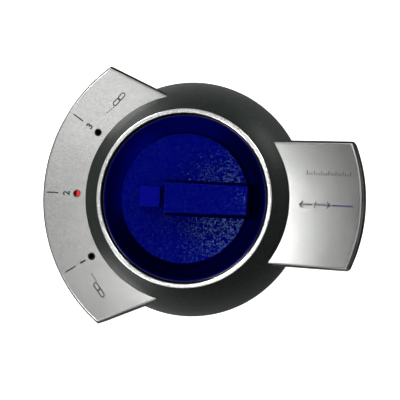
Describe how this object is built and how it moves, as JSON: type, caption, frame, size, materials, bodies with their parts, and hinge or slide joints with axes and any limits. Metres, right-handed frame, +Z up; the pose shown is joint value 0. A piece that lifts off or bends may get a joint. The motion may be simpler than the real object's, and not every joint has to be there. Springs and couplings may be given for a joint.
{
  "type": "optical audio selector switch",
  "caption": "Low puck-shaped manual selector for optical audio leads; its turning knob joins the common socket on one wing to the chosen socket on the other wing.",
  "frame": {"origin": "centre of the circle that both wings end on, on the plane the feet rest on", "axes": "+X from the knob towards the common socket's wing, +Z up along the knob axis, +Y completes the right-handed set"},
  "size_m": [0.1116, 0.089, 0.0218],
  "materials": {
    "gunmetal_shell": "satin dark metallic paint on moulded plastic",
    "base_plastic": "fine spark texture",
    "foot_rubber": "matt",
    "steel": "zinc plated",
    "spring_steel": "bright",
    "trim_silver": "polished",
    "plate_silver": "fine sparkling satin, printed",
    "knob_blue": "polished groove, finely textured faces",
    "black_plastic": "satin",
    "shutter_plastic": "satin",
    "rotor_plastic": "satin",
    "acetal": "waxy",
    "clear_acrylic": "clear, polished ends",
    "flag_red": "bright"
  },
  "bodies": {
    "housing": {"base_pan": "base_plastic", "rubber_feet": "foot_rubber", "base_screws": "steel", "upper_housing": "gunmetal_shell", "trim_ring": "trim_silver", "link_wing_plate": "plate_silver", "common_wing_plate": "plate_silver", "indicator_sleeves": "black_plastic", "spindle_bush": "acetal", "thrust_washer": "steel", "detent_spring": "spring_steel", "detent_screw": "steel", "common_light_guide": "clear_acrylic", "link_1_jack": "black_plastic", "link_2_jack": "black_plastic", "link_3_jack": "black_plastic", "common_jack": "black_plastic", "link_1_fibre_stub": "clear_acrylic", "link_2_fibre_stub": "clear_acrylic", "link_3_fibre_stub": "clear_acrylic", "common_fibre_stub": "clear_acrylic", "link_1_shutter_pin": "steel", "link_2_shutter_pin": "steel", "link_3_shutter_pin": "steel", "common_shutter_pin": "steel", "link_1_shutter_spring": "spring_steel", "link_2_shutter_spring": "spring_steel", "link_3_shutter_spring": "spring_steel", "common_shutter_spring": "spring_steel"},
    "selector": {"knob": "knob_blue", "knob_clip": "spring_steel", "rotor": "rotor_plastic", "retaining_ring": "spring_steel", "selector_light_guide": "clear_acrylic", "link_light_guide": "clear_acrylic", "indicator_flag": "flag_red"},
    "link_1_flap": {"link_1_shutter": "shutter_plastic"},
    "link_2_flap": {"link_2_shutter": "shutter_plastic"},
    "link_3_flap": {"link_3_shutter": "shutter_plastic"},
    "common_flap": {"common_shutter": "shutter_plastic"}
  },
  "joints": [
    {"name": "knob_turn", "type": "hinge", "parent": "housing", "child": "selector", "pos_m": [-0.0046, 0, 0.014], "axis": [0, 0, 1], "range_deg": [-33.5, 33.5], "deforming": ["detent_spring"]},
    {"name": "link_1_shutter_swing", "type": "hinge", "parent": "housing", "child": "link_1_flap", "pos_m": [-0.0445, -0.02641, 0.01145], "axis": [0.5519, -0.8339, 0], "range_deg": [0, 86], "stiffness_Nm_per_rad": 0.00006, "springref_deg": -20.05, "deforming": ["link_1_shutter_spring"]},
    {"name": "link_2_shutter_swing", "type": "hinge", "parent": "housing", "child": "link_2_flap", "pos_m": [-0.05245, 0, 0.01145], "axis": [0, -1, 0], "range_deg": [0, 86], "stiffness_Nm_per_rad": 0.00006, "springref_deg": -20.05, "deforming": ["link_2_shutter_spring"]},
    {"name": "link_3_shutter_swing", "type": "hinge", "parent": "housing", "child": "link_3_flap", "pos_m": [-0.0445, 0.02641, 0.01145], "axis": [-0.5519, -0.8339, 0], "range_deg": [0, 86], "stiffness_Nm_per_rad": 0.00006, "springref_deg": -20.05, "deforming": ["link_3_shutter_spring"]},
    {"name": "common_shutter_swing", "type": "hinge", "parent": "housing", "child": "common_flap", "pos_m": [0.05245, 0, 0.01145], "axis": [0, 1, 0], "range_deg": [0, 86], "stiffness_Nm_per_rad": 0.00006, "springref_deg": -20.05, "deforming": ["common_shutter_spring"]}
  ]
}
